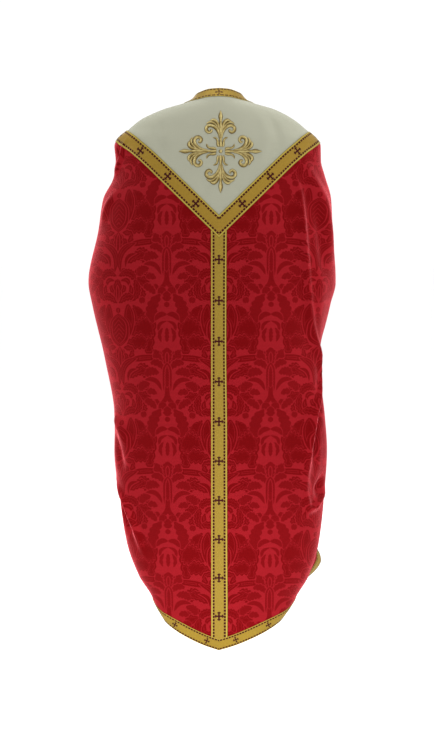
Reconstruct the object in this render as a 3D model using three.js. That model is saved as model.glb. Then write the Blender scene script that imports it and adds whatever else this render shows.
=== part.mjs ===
// A conical chasuble, hollow, standing as it is worn over bent arms with the hands joined in front.
// Millimetres, +Z up. The wearer faces -Y, the wearer's left is +X, and the origin is between the
// shoulders at the height of the neck tape's lower edge.
//
// The cloth is one surface, read at (u, z). |u| runs round each level: 0 at the centre of the back,
// 0.5 at the widest point of the side, 1 at the centre of the front; u is positive on the wearer's
// left. Every piece is a set of triangles on that surface, given a thickness, and the tapes use the
// triangles of the cloth under them, moved out.

import * as THREE from "three";

// Cloth and trimmings.
const WALL = 2;
const TAPE_THICK = 1;
const STITCH_THICK = 1.2;
const GAP = 0.3;
const STITCH_GAP = 0.6;
const WIDE_TAPE = 39;
const NARROW_TAPE = 28;

// The grid on each quarter of the garment: columns from a centre line to the side, rows down the
// arm seam, and rows down the free edge below it.
const COLUMNS = 14;
const SEAM_ROWS = 6;
const EDGE_ROWS = 12;
const YOKE_ROWS = 5;

// The yoke's V: the middle line of its tape, as seen square on.
const V_BACK_APEX = -311;
const V_FRONT_APEX = -325;
const V_SLOPE = 0.975;
// Beyond this half width its arms bend towards the level, by the square of how far beyond.
const V_BEND_FROM = 150;
const V_BEND = 0.0015;

// The embroidered cross on the back yoke.
const CROSS = { x: -4, z: -131, arms: ["top", "left", "bottom", "right"], boss: 7.5 };

// Levels of the worn cloth: the half width on each side, where the widest point, the back and the
// front lie in y, and how square the back and the front corners are (2 is an ellipse).
const LEVELS = table("z left right side back front squareBack squareFront", [
  [40, 33, 33, 0, 38, -34, 2, 2],
  [18, 50, 50, 0, 57, -46, 2, 2],
  [-3, 69, 68, 0, 76, -62, 2, 2],
  [-26, 140, 139, 0, 87, -77, 2, 2],
  [-50, 192, 184, 0, 95, -89, 2, 2],
  [-74, 222, 214, -1, 101, -98, 2, 2.1],
  [-98, 250, 241, -2, 106, -106, 2.05, 2.1],
  [-112, 257, 250, -3, 109, -110, 2.05, 2.2],
  [-150, 254, 251, -4, 115, -120, 2.1, 2.3],
  [-184, 257, 260, -6, 119, -128, 2.1, 2.4],
  [-245, 286, 277, -10, 126, -142, 2.15, 2.6],
  [-320, 298, 281, -14, 130, -154, 2.2, 2.8],
  [-450, 324, 290, -24, 131, -168, 2.2, 3],
  [-505, 315, 277, -27, 129, -172, 2.25, 3],
  [-642, 284, 252, -32, 119, -176, 2.3, 2.9],
  [-790, 261, 267, -34, 105, -176, 2.3, 2.8],
  [-867, 262, 272, -33, 97, -174, 2.3, 2.8],
  [-1000, 247, 263, -28, 84, -168, 2.3, 2.7],
  [-1107, 230, 250, -22, 73, -162, 2.3, 2.6],
  [-1186, 201, 226, -18, 65, -157, 2.3, 2.5],
  [-1241, 170, 197, -16, 59, -152, 2.3, 2.4],
  [-1380, 150, 170, -14, 44, -140, 2.3, 2.3],
]);

// The neck edge, from the centre of the back to the centre of the front.
const NECK = table("u z", [
  [0, 23],
  [0.15, 21.5],
  [0.3, 16],
  [0.4, 13],
  [0.5, 9],
  [0.62, -2],
  [0.775, -20],
  [0.855, -48],
  [0.907, -80],
  [0.951, -100],
  [1, -107],
]);

// The hem, from the point of the back, up over the forearm, to the point of the front.
const HEM = table("u z", [
  [0, -1364],
  [0.11, -1350],
  [0.225, -1330],
  [0.31, -1312],
  [0.386, -1294],
  [0.445, -1276],
  [0.505, -1252],
  [0.552, -1213],
  [0.577, -1155],
  [0.588, -1080],
  [0.594, -980],
  [0.595, -860],
  [0.592, -720],
  [0.588, -580],
  [0.588, -480],
  [0.605, -425],
  [0.645, -400],
  [0.685, -425],
  [0.702, -480],
  [0.704, -580],
  [0.706, -720],
  [0.71, -860],
  [0.722, -980],
  [0.748, -1090],
  [0.79, -1180],
  [0.85, -1245],
  [0.92, -1287],
  [1, -1308],
]);
// Rows of the hem: where its sweep turns into the free edge of the back, the crest over the
// forearm, and where the front's free edge turns into its sweep.
const HEM_TURNS = { back: 6, crest: 16, front: 25 };
const CLOTH_PER_U = 640;
const TURN_REACH = 14;

// Folds of the cloth: a line from (u, z) to (u2, z2), how wide it is either side and how far it
// stands out; a negative rise is a trough.
const FOLDS = table("u z u2 z2 width rise", [
  [-0.29, -250, -0.4, -620, 24, 7],
  [-0.4, -600, -0.31, -960, 26, 9],
  [-0.46, -600, -0.43, -980, 26, -10],
  [-0.588, -1128, -0.57, -1204, 22, 24],
  [0.44, -150, 0.47, -185, 14, 5],
  [0.36, -800, 0.42, -1060, 34, 6],
  [0.86, -330, 0.9, -1150, 34, 9],
  [-0.84, -360, -0.88, -1100, 34, 8],
  [0.78, -300, 0.8, -900, 26, -7],
  [-0.95, -420, -0.96, -1000, 30, -7],
]);

// Half of one arm of the cross: half widths at distances from its middle.
const CROSS_ARM = table("reach half", [
  [12, 2.5],
  [20, 7],
  [27, 15],
  [33, 6],
  [45, 7],
  [48, 34],
  [54, 39],
  [64, 31],
  [75, 17],
  [84, 8],
  [92, 5],
  [101, 0.8],
]);

const DAMASK = finish(0x9c1822, 0.6);
const IVORY = finish(0xc6c5b4, 0.7);
const GALLOON = finish(0xb8963c, 0.45);
const GOLD_THREAD = finish(0xb9a25c, 0.4);

function finish(color, roughness) {
  return new THREE.MeshStandardMaterial({ color, roughness, metalness: 0 });
}

function table(columns, rows) {
  const names = columns.split(" ");
  return rows.map((row) => Object.fromEntries(names.map((name, k) => [name, row[k]])));
}

function mix(from, to, share) {
  return from + (to - from) * share;
}

function slopeAt(rows, key, column, k) {
  const rise = (i) => (rows[i + 1][column] - rows[i][column]) / (rows[i + 1][key] - rows[i][key]);
  if (k === 0) {
    return rise(0);
  }
  if (k === rows.length - 1) {
    return rise(k - 1);
  }
  const before = rise(k - 1);
  const after = rise(k);
  return before * after <= 0 ? 0 : (2 * before * after) / (before + after);
}

// A column of a table at a value of its key column, on a curve with no overshoot.
function read(rows, key, column, at) {
  const down = Math.sign(rows[1][key] - rows[0][key]);
  let k = 0;
  while (k < rows.length - 2 && down * (at - rows[k + 1][key]) > 0) {
    k += 1;
  }
  const span = rows[k + 1][key] - rows[k][key];
  const t = (at - rows[k][key]) / span;
  const leave = slopeAt(rows, key, column, k) * span;
  const arrive = slopeAt(rows, key, column, k + 1) * span;
  const straight = mix(rows[k][column], rows[k + 1][column], t * t * (3 - 2 * t));
  return straight + leave * t * (1 - t) ** 2 - arrive * t * t * (1 - t);
}

// A quarter of a level, from its centre line to the widest point of its side.
function quarter(isBack, sign, z) {
  const halfWidth = read(LEVELS, "z", sign < 0 ? "right" : "left", z);
  const side = read(LEVELS, "z", "side", z);
  const depth = Math.abs(read(LEVELS, "z", isBack ? "back" : "front", z) - side);
  const square = read(LEVELS, "z", isBack ? "squareBack" : "squareFront", z);
  const steps = 48;
  const points = [];
  let length = 0;
  for (let k = 0; k <= steps; k += 1) {
    const angle = (k / steps) * (Math.PI / 2);
    const reach = (Math.sin(angle) / halfWidth) ** square + (Math.cos(angle) / depth) ** square;
    const radius = reach ** (-1 / square);
    const point = new THREE.Vector2(radius * Math.sin(angle), radius * Math.cos(angle));
    length += k > 0 ? point.distanceTo(points[k - 1].point) : 0;
    points.push({ point, length });
  }
  return { points, length, side };
}

// The level curve without its folds.
function smoothPoint(u, z) {
  const turned = Math.abs(u) > 1 ? u - 2 * Math.sign(u) : u;
  const sign = turned < 0 ? -1 : 1;
  const isBack = Math.abs(turned) <= 0.5;
  const { points, length, side } = quarter(isBack, sign, z);
  const wanted = 2 * length * (isBack ? Math.abs(turned) : 1 - Math.abs(turned));
  let k = 1;
  while (k < points.length - 1 && points[k].length < wanted) {
    k += 1;
  }
  const share = (wanted - points[k - 1].length) / (points[k].length - points[k - 1].length);
  const { x, y } = points[k - 1].point.clone().lerp(points[k].point, share);
  return new THREE.Vector3(sign * x, side + (isBack ? y : -y), z);
}

function foldRise(u, z) {
  let rise = 0;
  for (const fold of FOLDS) {
    const run = new THREE.Vector2((fold.u2 - fold.u) * CLOTH_PER_U, fold.z2 - fold.z);
    const away = u - fold.u - 2 * Math.round((u - fold.u) / 2);
    const from = new THREE.Vector2(away * CLOTH_PER_U, z - fold.z);
    const t = Math.min(1, Math.max(0, from.dot(run) / run.lengthSq()));
    const reach = from.distanceTo(run.clone().multiplyScalar(t)) / fold.width;
    const fade = mix(0.35, 1, Math.sin(Math.PI * t));
    rise += fold.rise * fade * Math.exp(-reach * reach);
  }
  return rise;
}

function clothPoint({ u, z }) {
  const step = 0.006;
  const around = smoothPoint(u + step, z).sub(smoothPoint(u - step, z));
  const outward = new THREE.Vector3(-around.y, around.x, 0).normalize();
  return smoothPoint(u, z).addScaledVector(outward, foldRise(u, z));
}

function slopes({ u, z }) {
  const du = 0.006;
  const dz = 3;
  const around = clothPoint({ u: u + du, z }).sub(clothPoint({ u: u - du, z }));
  const up = clothPoint({ u, z: z + dz }).sub(clothPoint({ u, z: z - dz }));
  return { around: around.divideScalar(2 * du), up: up.divideScalar(2 * dz) };
}

// A grid point: its place on the middle of the cloth and the way out of the cloth.
function knot({ u, z }) {
  const place = { u: u === -1 ? 1 : u, z };
  const { around, up } = slopes(place);
  return { point: clothPoint(place), out: up.cross(around).normalize() };
}

// A place some millimetres away along the cloth, in a direction in space.
function walk(place, direction, distance) {
  const steps = 4;
  const next = { ...place };
  for (let k = 0; k < steps; k += 1) {
    const { around, up } = slopes(next);
    const aa = around.dot(around);
    const ab = around.dot(up);
    const bb = up.dot(up);
    const pa = (direction.dot(around) * distance) / steps;
    const pb = (direction.dot(up) * distance) / steps;
    const det = aa * bb - ab * ab;
    next.u += (pa * bb - pb * ab) / det;
    next.z += (pb * aa - pa * ab) / det;
  }
  return next;
}

// A place moved straight down its column, far enough to be a distance away in a direction.
function lower(place, direction, distance) {
  const start = clothPoint(place);
  const next = { ...place };
  for (let k = 0; k < 4; k += 1) {
    const done = clothPoint(next).sub(start).dot(direction);
    next.z += (distance - done) / direction.dot(slopes(next).up);
  }
  return next;
}

// A place on a centre line moved down it, so far that a line which leaves it at a slope has moved
// a distance square to itself.
function downCentre({ u, z }, slope, distance) {
  return { u, z: z - (distance * Math.hypot(1, slope)) / slopes({ u: Math.abs(u), z }).up.length() };
}

// The way across a line at a place, out of the piece that the line ends: down on the body.
function acrossLine(place, before, after, sign) {
  const run = clothPoint(after).sub(clothPoint(before));
  return knot(place).out.cross(run).multiplyScalar(sign).normalize();
}

function acrossStation(line, k, sign) {
  const before = line[Math.max(0, k - 1)];
  const after = line[Math.min(line.length - 1, k + 1)];
  return acrossLine(line[k], before, after, sign);
}

function besideCentre(sign, distance, z) {
  return (sign * distance) / (2 * quarter(true, sign, z).length);
}

// The neck edge, and the same moved out to the tape's other edge.
function neckLines(sign) {
  const neck = [];
  for (let k = 0; k <= 2 * COLUMNS; k += 1) {
    const u = k / (2 * COLUMNS);
    neck.push({ u: sign * u, z: read(NECK, "u", "z", u) });
  }
  const outer = neck.map((place, k) => {
    const direction = acrossStation(neck, k, sign);
    return k % (2 * COLUMNS) === 0
      ? downCentre(place, 0, NARROW_TAPE)
      : walk(place, direction, NARROW_TAPE);
  });
  return { neck, neckOuter: outer };
}

// The level at which the V crosses a column, where it has climbed with the half width there.
function vBend(reach) {
  return V_BEND * Math.max(0, reach - V_BEND_FROM) ** 2;
}

function vLevel(u, apex, slope) {
  let low = apex - 1;
  let high = 0;
  for (let k = 0; k < 40; k += 1) {
    const z = (low + high) / 2;
    const reach = Math.abs(smoothPoint(u, z).x);
    if (z - apex < slope * reach - vBend(reach)) {
      low = z;
    } else {
      high = z;
    }
  }
  return low;
}

// The V's middle line from the back's point to the front's, and the tape's two edges.
function vLines(sign) {
  const first = Math.abs(besideCentre(sign, WIDE_TAPE / 2, V_BACK_APEX));
  const last = 0.5 - Math.abs(besideCentre(sign, NARROW_TAPE, V_BACK_APEX));
  const shares = [0];
  for (let k = 1; k < COLUMNS; k += 1) {
    shares.push(mix(first, last, (k - 1) / (COLUMNS - 2)));
  }
  const corner = { u: sign * 0.5, z: vLevel(sign * 0.5, V_BACK_APEX, V_SLOPE) };
  const reach = Math.abs(smoothPoint(corner.u, corner.z).x);
  const frontSlope = (corner.z + vBend(reach) - V_FRONT_APEX) / reach;
  const back = shares.map((u) => ({ u: sign * u, z: vLevel(sign * u, V_BACK_APEX, V_SLOPE) }));
  const front = shares.map((u) => {
    const turned = sign * (1 - u);
    return { u: turned, z: vLevel(turned, V_FRONT_APEX, frontSlope) };
  });
  const v = [...back, corner, ...front.reverse()];
  const edge = (distance) =>
    v.map((place, k) =>
      k % (2 * COLUMNS) === 0
        ? downCentre(place, V_SLOPE, distance)
        : lower(place, acrossStation(v, k, sign), distance),
    );
  return { vInner: edge(-WIDE_TAPE / 2), v, vOuter: edge(WIDE_TAPE / 2) };
}

// How steeply the hem leaves its point at the back or the front.
function tipSlope(isBack) {
  const [tip, next] = isBack ? HEM : HEM.slice(-2).reverse();
  const run = 2 * Math.abs(next.u - tip.u) * quarter(isBack, 1, tip.z).length;
  return (next.z - tip.z) / run;
}

// The hem as a curve of known length, with the lengths at which its stretches meet.
function hemCurve(sign) {
  const knots = HEM.map((row) => new THREE.Vector3(row.u * CLOTH_PER_U, row.z, 0));
  const curve = new THREE.CatmullRomCurve3(knots, false, "centripetal");
  curve.arcLengthDivisions = 40 * HEM.length;
  const lengths = curve.getLengths();
  const whole = lengths.at(-1);
  const lengthAt = (row) => lengths[Math.round((curve.arcLengthDivisions * row) / (HEM.length - 1))];
  const place = (length) => {
    const { x, y } = curve.getPointAt(Math.min(1, Math.max(0, length / whole)));
    return { u: (sign * x) / CLOTH_PER_U, z: y };
  };
  const across = (length) => acrossLine(place(length), place(length - 4), place(length + 4), sign);
  const inner = (length) =>
    length === 0 || length === whole
      ? downCentre(place(length), tipSlope(length === 0), -NARROW_TAPE)
      : walk(place(length), across(length), -NARROW_TAPE);
  return {
    place,
    inner,
    whole,
    back: lengthAt(HEM_TURNS.back),
    crest: lengthAt(HEM_TURNS.crest),
    front: lengthAt(HEM_TURNS.front),
  };
}

// The side of a quarter panel, down the arm seam and then down the free edge: each row has its
// place on the edge and the place a tape's width in from it.
function sideRows(isBack, top, hem, sign) {
  const seamEnd = hem.inner(hem.crest);
  const rows = [];
  for (let k = 0; k < SEAM_ROWS - 1; k += 1) {
    const share = k / (SEAM_ROWS - 2);
    const edge = { u: mix(top.u, seamEnd.u, share), z: mix(top.z, seamEnd.z, share) };
    const inwards = acrossLine(edge, top, seamEnd, sign);
    rows.push({ edge, inner: walk(edge, inwards, isBack ? NARROW_TAPE : -NARROW_TAPE) });
  }
  const turn = isBack ? hem.back + TURN_REACH : hem.front - TURN_REACH;
  const edgeAt = (k) => mix(hem.crest, turn, k / (EDGE_ROWS - 1));
  rows.push({ edge: hem.place(hem.crest), inner: hem.inner(edgeAt(0.5)) });
  for (let k = 1; k < EDGE_ROWS; k += 1) {
    rows.push({ edge: hem.place(edgeAt(k)), inner: hem.inner(edgeAt(k)) });
  }
  return rows;
}

// The sweep of the hem from a centre line to where it turns up the free edge: its own places, and
// the places a tape's width in from them.
function sweep(isBack, hem, sign) {
  const tip = isBack ? 0 : hem.whole;
  const turn = isBack ? hem.back : hem.front;
  const inwards = Math.sign(turn - tip);
  const first = tip + inwards * Math.abs(besideCentre(sign, WIDE_TAPE / 2, HEM[0].z)) * CLOTH_PER_U;
  const last = turn - inwards * TURN_REACH;
  const lengths = [tip];
  for (let k = 0; k < COLUMNS - 1; k += 1) {
    lengths.push(mix(first, last, k / (COLUMNS - 2)));
  }
  const outer = [...lengths.map(hem.place), hem.place(turn)];
  const inner = [...lengths.slice(0, -1).map(hem.inner), hem.inner(turn)];
  return { outer, inner };
}

// Places inside four edges of places, each a blend of all four.
function blend(top, bottom, left, right, row, column) {
  const down = row / (left.length - 1);
  const across = (top[column].u - top[0].u) / (top.at(-1).u - top[0].u);
  const value = (key) => {
    const rows = mix(top[column][key], bottom[column][key], down);
    const columns = mix(left[row][key], right[row][key], across);
    const ends = mix(
      mix(top[0][key], top.at(-1)[key], across),
      mix(bottom[0][key], bottom.at(-1)[key], across),
      down,
    );
    return rows + columns - ends;
  };
  return { u: value("u"), z: value("z") };
}

// The stations of a line on the back or the front, from the centre line to the side.
function stationsOf(line, isBack) {
  return isBack ? line.slice(0, COLUMNS + 1) : line.slice(COLUMNS).reverse();
}

function panelPlaces(isBack, lines, hem, sign) {
  const v = stationsOf(lines.v, isBack);
  const top = stationsOf(lines.vOuter, isBack);
  const side = sideRows(isBack, top[COLUMNS], hem, sign);
  const { outer, inner } = sweep(isBack, hem, sign);
  const upper = top.slice(0, COLUMNS);
  const right = side.map((row) => row.inner);
  right[0] = upper.at(-1);
  right[right.length - 1] = inner.at(-1);
  const left = side.map((_, row) => ({
    u: top[0].u,
    z: mix(upper[0].z, inner[0].z, row / (side.length - 1)),
  }));
  const rows = side.map(({ edge }, row) => {
    const places = upper.map((_, k) => blend(upper, inner, left, right, row, k));
    if (isBack) {
      places[1].u = besideCentre(sign, WIDE_TAPE / 2, places[1].z);
    }
    return [...places, edge];
  });
  return [v, ...rows, outer];
}

function yokePlaces(isBack, lines) {
  const line = (name) => stationsOf(lines[name], isBack);
  const top = line("neckOuter");
  const bottom = line("vInner");
  const rows = [line("neck")];
  for (let row = 0; row <= YOKE_ROWS; row += 1) {
    const share = row / YOKE_ROWS;
    rows.push(
      top.map((place, k) => ({
        u: mix(place.u, bottom[k].u, share),
        z: mix(place.z, bottom[k].z, share),
      })),
    );
  }
  return [...rows, line("v")];
}

// Which way two cells at the side of a panel are cut, up or down: at the foot of the arm seam, so
// that the hem's tape ends square to the edge, and where the hem turns, so that it meets its miter.
function panelCut(i, j) {
  const isUp = { [SEAM_ROWS - 1]: true, [BODY_ROWS - 1]: false };
  return j === COLUMNS - 1 ? isUp[i] : undefined;
}

// A grid of knots, and its cells cut into triangles along their shorter diagonals where the choice
// isn't made for them.
function meshOf(places, cut = () => undefined) {
  const knots = places.map((row) => row.map(knot));
  const triangles = [];
  for (let i = 0; i < knots.length - 1; i += 1) {
    for (let j = 0; j < knots[i].length - 1; j += 1) {
      const down = knots[i][j].point.distanceTo(knots[i + 1][j + 1].point);
      const up = knots[i + 1][j].point.distanceTo(knots[i][j + 1].point);
      const corners = cut(i, j) ?? up < down
        ? [[[i, j], [i + 1, j], [i, j + 1]], [[i + 1, j], [i + 1, j + 1], [i, j + 1]]]
        : [[[i, j], [i + 1, j], [i + 1, j + 1]], [[i, j], [i + 1, j + 1], [i, j + 1]]];
      corners.forEach((triangle, half) => triangles.push({ i, j, half, triangle }));
    }
  }
  return { knots, triangles };
}

const BODY_ROWS = SEAM_ROWS + EDGE_ROWS;
const YOKE_END = YOKE_ROWS + 2;
const QUARTERS = {};
for (const [side, sign] of Object.entries({ left: 1, right: -1 })) {
  const lines = { ...neckLines(sign), ...vLines(sign) };
  const hem = hemCurve(sign);
  for (const face of ["back", "front"]) {
    const isBack = face === "back";
    QUARTERS[`${face}_${side}`] = {
      panel: meshOf(panelPlaces(isBack, lines, hem, sign), panelCut),
      yoke: meshOf(yokePlaces(isBack, lines)),
    };
  }
}

// Triangles of a mesh that pass a test, with some of their knots drawn towards neighbours, as
// draw(i, j) lists them, to leave a gap at a seam.
function taken(mesh, test, draw = () => [], distance = GAP / 2) {
  const moved = ([i, j]) => {
    const { point, out } = mesh.knots[i][j];
    const place = point.clone();
    for (const [row, column] of draw(i, j)) {
      const run = mesh.knots[row][column].point.clone().sub(point);
      place.add(run.setLength(distance));
    }
    return { point: place, out };
  };
  return mesh.triangles.filter(test).map(({ triangle }) => triangle.map(moved));
}

// A closed solid over triangles, between two distances out from the middle of the cloth.
function solid(name, triangles, low, high, material) {
  const knots = [];
  const known = new Map();
  const indexOf = (corner) => {
    const key = corner.point.toArray().map((value) => Math.round(1000 * value)).join();
    if (!known.has(key)) {
      known.set(key, knots.length);
      knots.push(corner);
    }
    return known.get(key);
  };
  const faces = triangles.map(([a, b, c]) => {
    const facing = b.point.clone().sub(a.point).cross(c.point.clone().sub(a.point));
    const outwards = facing.dot(a.out) + facing.dot(b.out) + facing.dot(c.out) > 0;
    return (outwards ? [a, b, c] : [a, c, b]).map(indexOf);
  });
  const edges = new Set(faces.flatMap(([a, b, c]) => [`${a},${b}`, `${b},${c}`, `${c},${a}`]));
  const index = [];
  for (const [a, b, c] of faces) {
    index.push(2 * a + 1, 2 * b + 1, 2 * c + 1, 2 * a, 2 * c, 2 * b);
    for (const [from, to] of [[a, b], [b, c], [c, a]]) {
      if (!edges.has(`${to},${from}`)) {
        index.push(2 * to + 1, 2 * from + 1, 2 * from, 2 * to + 1, 2 * from, 2 * to);
      }
    }
  }
  const vertices = knots.flatMap(({ point, out }) => [
    ...point.clone().addScaledVector(out, low).toArray(),
    ...point.clone().addScaledVector(out, high).toArray(),
  ]);
  const geometry = new THREE.BufferGeometry();
  geometry.setAttribute("position", new THREE.Float32BufferAttribute(vertices, 3));
  geometry.setIndex(index);
  geometry.computeVertexNormals();
  const mesh = new THREE.Mesh(geometry, material.clone());
  mesh.name = name;
  return mesh;
}

function clothPiece(name, triangles, material) {
  return solid(name, triangles, -WALL / 2, WALL / 2, material);
}

function tape(name, triangles) {
  const low = WALL / 2 + GAP;
  return solid(name, triangles, low, low + TAPE_THICK, GALLOON);
}

// A damask panel stays clear of the yoke above it and of the other panel at the arm seam.
function panel(face) {
  const draw = (i, j) => {
    const up = i === 0 ? [[1, j]] : [];
    return j === COLUMNS && i <= SEAM_ROWS ? [...up, [i, COLUMNS - 1]] : up;
  };
  const sides = ["left", "right"].map((side) => QUARTERS[`${face}_${side}`].panel);
  return clothPiece(`${face}_panel`, sides.flatMap((mesh) => taken(mesh, () => true, draw)), DAMASK);
}

function yoke(face) {
  const draw = (i, j) => {
    const down = i === YOKE_END ? [[i - 1, j]] : [];
    return j === COLUMNS ? [...down, [i, COLUMNS - 1]] : down;
  };
  const sides = ["left", "right"].map((side) => QUARTERS[`${face}_${side}`].yoke);
  return clothPiece(`${face}_yoke`, sides.flatMap((mesh) => taken(mesh, () => true, draw)), IVORY);
}

// A tape that runs down one side of the body is cut at both centre lines, clear of its twin.
const fromCentre = (i, j) => (j === 0 ? [[i, 1]] : []);

// The V's tape lies half on the yoke and half on the damask.
function vTape(side) {
  const strips = ["back", "front"].flatMap((face) => {
    const quarter = QUARTERS[`${face}_${side}`];
    return [
      ...taken(quarter.yoke, ({ i }) => i === YOKE_END - 1, fromCentre),
      ...taken(quarter.panel, ({ i }) => i === 0, fromCentre),
    ];
  });
  return tape(`v_tape_${side}`, strips);
}

function hemTape(side) {
  const isHem = ({ i, j, half }) => {
    const isSweep = i === BODY_ROWS - 1;
    const isEdge = j === COLUMNS - 1 && i >= SEAM_ROWS;
    const isSeamEnd = j === COLUMNS - 1 && i === SEAM_ROWS - 1 && half === 1;
    return isSweep || isEdge || isSeamEnd;
  };
  const strips = ["back", "front"].flatMap((face) =>
    taken(QUARTERS[`${face}_${side}`].panel, isHem, fromCentre),
  );
  return tape(`hem_tape_${side}`, strips);
}

function neckTape() {
  const strips = Object.values(QUARTERS).flatMap((quarter) => taken(quarter.yoke, ({ i }) => i === 0));
  return tape("neck_tape", strips);
}

// The column's tape ends just clear of the V's and the hem's.
function columnTape() {
  const test = ({ i, j }) => j === 0 && i > 0 && i < BODY_ROWS - 1;
  const draw = (i, j) => {
    const below = i === 1 ? [[2, j]] : [];
    return i === BODY_ROWS - 1 ? [[i - 1, j]] : below;
  };
  const sides = [QUARTERS.back_left, QUARTERS.back_right];
  return tape("column_tape", sides.flatMap((quarter) => taken(quarter.panel, test, draw, GAP)));
}

// A place on the back yoke, a distance across and up the cloth from the middle of the cross.
function crossPlace(acrossCloth, upCloth) {
  const steps = 6;
  let { z } = CROSS;
  for (let k = 0; k < steps; k += 1) {
    z += upCloth / steps / slopes({ u: 0, z }).up.length();
  }
  return { u: besideCentre(1, CROSS.x + acrossCloth, z), z };
}

function embroidery(name, grid) {
  const low = WALL / 2 + STITCH_GAP;
  const mesh = meshOf(grid.map((row) => row.map(([x, y]) => crossPlace(x, y))));
  return solid(name, taken(mesh, () => true), low, low + STITCH_THICK, GOLD_THREAD);
}

// One arm, turned by quarter turns from the one that points up.
function crossArm(name, turns) {
  const angle = (turns * Math.PI) / 2;
  const shares = [1, 0.5, 0, -0.5, -1];
  const grid = CROSS_ARM.map(({ reach, half }) =>
    shares.map((share) => [
      share * half * Math.cos(angle) + reach * Math.sin(angle),
      reach * Math.cos(angle) - share * half * Math.sin(angle),
    ]),
  );
  return embroidery(`cross_arm_${name}`, grid);
}

function crossBoss() {
  const rows = [1, 0.5, 0, -0.5, -1];
  const grid = rows.map((up) =>
    rows.map((side) => [
      CROSS.boss * side * Math.sqrt(1 - up ** 2 / 2),
      CROSS.boss * up * Math.sqrt(1 - side ** 2 / 2),
    ]),
  );
  return embroidery("cross_boss", grid);
}

const clothing = new THREE.Group();
clothing.add(panel("back"), panel("front"), yoke("back"), yoke("front"));

const tapes = new THREE.Group();
tapes.add(columnTape(), neckTape());
tapes.add(vTape("left"), vTape("right"), hemTape("left"), hemTape("right"));

const cross = new THREE.Group();
cross.add(crossBoss(), ...CROSS.arms.map(crossArm));

const chasuble = new THREE.Group();
chasuble.add(clothing, tapes, cross);

export default chasuble;
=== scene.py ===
import math

import bpy
import numpy as np
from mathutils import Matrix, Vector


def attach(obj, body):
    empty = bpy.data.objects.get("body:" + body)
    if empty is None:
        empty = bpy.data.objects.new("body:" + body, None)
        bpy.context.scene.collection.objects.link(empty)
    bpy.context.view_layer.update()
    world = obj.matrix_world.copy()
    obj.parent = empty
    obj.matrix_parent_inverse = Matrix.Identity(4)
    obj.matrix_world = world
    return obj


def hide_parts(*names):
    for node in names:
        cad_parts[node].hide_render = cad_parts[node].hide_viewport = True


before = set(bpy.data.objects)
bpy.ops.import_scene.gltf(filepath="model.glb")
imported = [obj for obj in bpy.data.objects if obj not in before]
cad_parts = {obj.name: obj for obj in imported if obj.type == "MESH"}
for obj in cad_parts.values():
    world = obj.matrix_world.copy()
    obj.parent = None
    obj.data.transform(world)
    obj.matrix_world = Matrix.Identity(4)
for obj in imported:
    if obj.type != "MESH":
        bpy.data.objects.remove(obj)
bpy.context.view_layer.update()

bl_info = {
    "name": "Conical Chasuble",
    "version": (1, 0, 0),
    "blender": (4, 5, 0),
    "location": "3D View > Sidebar > Chasuble",
    "description": (
        "A conical chasuble in damask with an ivory yoke, galloon and an embroidered cross"
    ),
    "category": "Add Mesh",
}

# The cloth is one surface, read at (u, z). |u| runs round each level: 0 at the centre of the back,
# 0.5 at the widest point of the side, 1 at the centre of the front; u is positive on the wearer's
# left. The tables are in millimetres, and meshes are written in metres.
MM = 0.001


class Table:
    """Rows of numbers with named columns, read on a smooth curve that doesn't overshoot."""

    def __init__(self, columns, rows):
        values = np.array(sorted(rows), dtype=float)
        self.columns = dict(zip(columns.split(), values.T))
        self.key = values[:, 0]
        self.slopes = {name: self._slopes(column) for name, column in self.columns.items()}

    def _slopes(self, column):
        rise = np.diff(column) / np.diff(self.key)
        before, after = rise[:-1], rise[1:]
        together = np.where(before + after == 0, 1, before + after)
        inner = np.where(before * after <= 0, 0, 2 * before * after / together)
        return np.concatenate([rise[:1], inner, rise[-1:]])

    def read(self, name, at):
        at = np.asarray(at, dtype=float)
        k = np.clip(np.searchsorted(self.key, at) - 1, 0, len(self.key) - 2)
        span = self.key[k + 1] - self.key[k]
        t = (at - self.key[k]) / span
        column, slopes = self.columns[name], self.slopes[name]
        straight = column[k] + (column[k + 1] - column[k]) * t * t * (3 - 2 * t)
        leaving = slopes[k] * span * t * (1 - t) ** 2
        return straight + leaving - slopes[k + 1] * span * t * t * (1 - t)


# Levels of the worn cloth: the half width on each side, where the widest point, the back and the
# front lie in y, and how square the back and the front corners are (2 is an ellipse).
LEVELS = Table("z left right side back front square_back square_front", [
    [40, 33, 33, 0, 38, -34, 2, 2],
    [18, 50, 50, 0, 57, -46, 2, 2],
    [-3, 69, 68, 0, 76, -62, 2, 2],
    [-26, 140, 139, 0, 87, -77, 2, 2],
    [-50, 192, 184, 0, 95, -89, 2, 2],
    [-74, 222, 214, -1, 101, -98, 2, 2.1],
    [-98, 250, 241, -2, 106, -106, 2.05, 2.1],
    [-112, 257, 250, -3, 109, -110, 2.05, 2.2],
    [-150, 254, 251, -4, 115, -120, 2.1, 2.3],
    [-184, 257, 260, -6, 119, -128, 2.1, 2.4],
    [-245, 286, 277, -10, 126, -142, 2.15, 2.6],
    [-320, 298, 281, -14, 130, -154, 2.2, 2.8],
    [-450, 324, 290, -24, 131, -168, 2.2, 3],
    [-505, 315, 277, -27, 129, -172, 2.25, 3],
    [-642, 284, 252, -32, 119, -176, 2.3, 2.9],
    [-790, 261, 267, -34, 105, -176, 2.3, 2.8],
    [-867, 262, 272, -33, 97, -174, 2.3, 2.8],
    [-1000, 247, 263, -28, 84, -168, 2.3, 2.7],
    [-1107, 230, 250, -22, 73, -162, 2.3, 2.6],
    [-1186, 201, 226, -18, 65, -157, 2.3, 2.5],
    [-1241, 170, 197, -16, 59, -152, 2.3, 2.4],
    [-1380, 150, 170, -14, 44, -140, 2.3, 2.3],
])

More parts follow.
